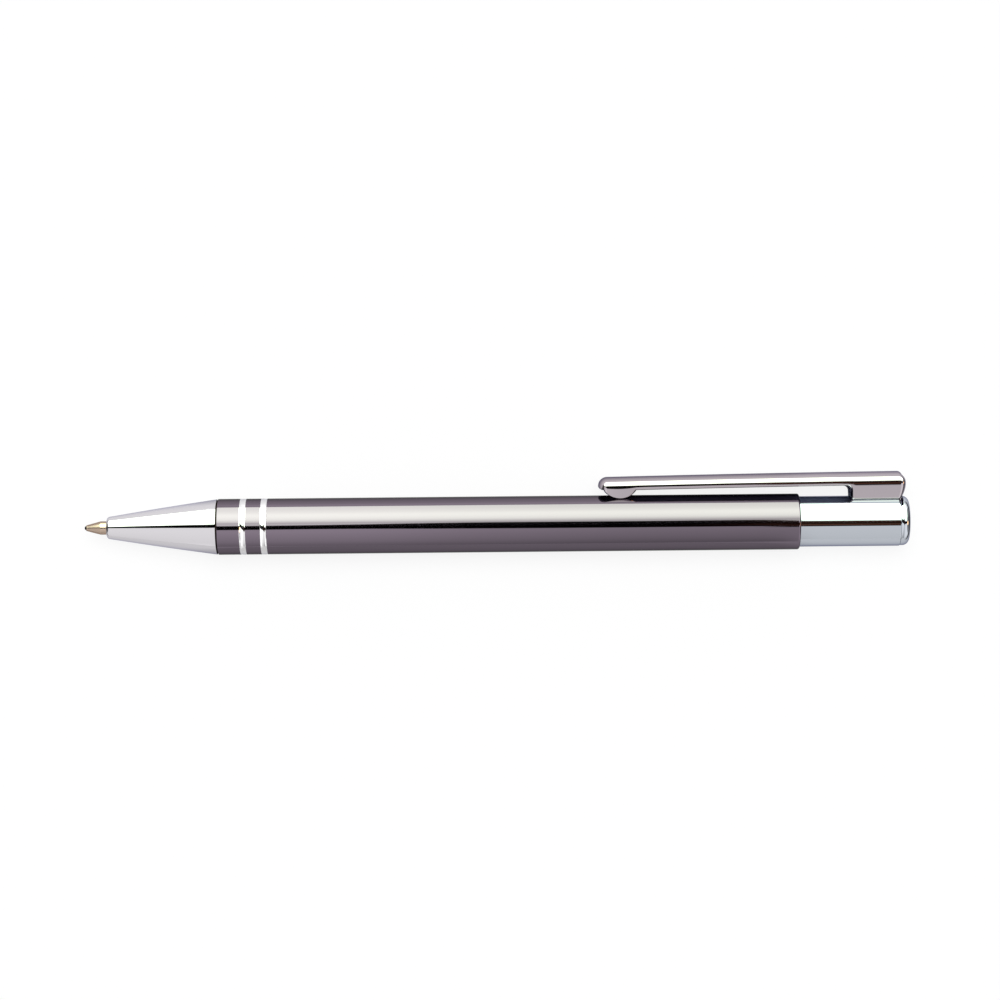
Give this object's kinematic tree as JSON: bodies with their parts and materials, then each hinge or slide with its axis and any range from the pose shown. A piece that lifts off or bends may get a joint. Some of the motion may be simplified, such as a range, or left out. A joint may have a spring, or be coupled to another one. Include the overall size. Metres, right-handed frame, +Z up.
{
  "type": "retractable ballpoint pen",
  "caption": "Push-action metal ballpoint pen with its point out: conical screw-on nose, straight barrel with two bright rings, sliding plunger with a channel clip.",
  "frame": {"origin": "on the table under the middle of the pen's bounding box", "axes": "+X along the pen from the point to the push button, +Y to the clip's side, +Z up from the table"},
  "size_m": [0.137, 0.013, 0.0093],
  "materials": {
    "anodised_barrel": "gun-metal anodised, polished, two crowned rings turned bright",
    "nose_plate": "satin bright plate",
    "chrome_plate": "polished",
    "bush_brass": "turned",
    "spring_wire": "drawn wire",
    "nickel_silver": "turned, pale gold",
    "ball_carbide": "ground",
    "cartridge_steel": "drawn tube",
    "ink": "dark blue paste",
    "plug_plastic": "moulded",
    "cam_acetal": "moulded",
    "guide_acetal": "moulded"
  },
  "bodies": {
    "barrel": {"barrel": "anodised_barrel", "thread_bush": "bush_brass", "guide_sleeve": "guide_acetal"},
    "plunger": {"plunger_tube": "chrome_plate", "thrust_sleeve": "cam_acetal", "end_cap": "chrome_plate"},
    "clip": {"clip": "chrome_plate"},
    "refill": {"refill_tube": "cartridge_steel", "refill_point": "nickel_silver", "ink_column": "ink", "refill_plug": "plug_plastic"},
    "rotor": {"cam_rotor": "cam_acetal"},
    "ball": {"writing_ball": "ball_carbide"},
    "spring": {"return_spring": "spring_wire"},
    "nose": {"nose_cone": "nose_plate"}
  },
  "joints": [
    {"name": "plunger_slide", "type": "slide", "parent": "barrel", "child": "plunger", "axis": [1, 0, 0], "range_m": [-0.0015, 0.0055]},
    {"name": "clip_flex", "type": "hinge", "parent": "plunger", "child": "clip", "pos_m": [0.067, 0.00079, 0.00465], "axis": [0, 0, -1], "range_deg": [0, 3], "stiffness_Nm_per_rad": 2},
    {"name": "refill_slide", "type": "slide", "parent": "barrel", "child": "refill", "axis": [1, 0, 0], "range_m": [-0.0015, 0.0055], "deforming": ["return_spring"]},
    {"name": "rotor_turn", "type": "hinge", "parent": "refill", "child": "rotor", "pos_m": [0.0338, -0.00181, 0.00465], "axis": [1, 0, 0], "range_deg": [-12.5, 45.5]},
    {"name": "ball_roll", "type": "hinge", "parent": "refill", "child": "ball", "pos_m": [-0.0681, -0.00181, 0.00465], "axis": [0, 0, 1], "continuous": true},
    {"name": "nose_travel", "type": "slide", "parent": "barrel", "child": "spring", "axis": [-1, 0, 0], "range_m": [0, 0.003]},
    {"name": "nose_unscrew", "type": "hinge", "parent": "spring", "child": "nose", "pos_m": [-0.055, -0.00181, 0.00465], "axis": [-1, 0, 0], "range_deg": [0, 1445]}
  ],
  "couplings": [
    {"joint": "refill_slide", "follows": "plunger_slide", "ratio": 1},
    {"joint": "rotor_turn", "follows": "plunger_slide", "rad_per_m": 142.8},
    {"joint": "nose_unscrew", "follows": "nose_travel", "rad_per_m": 8377.6}
  ]
}
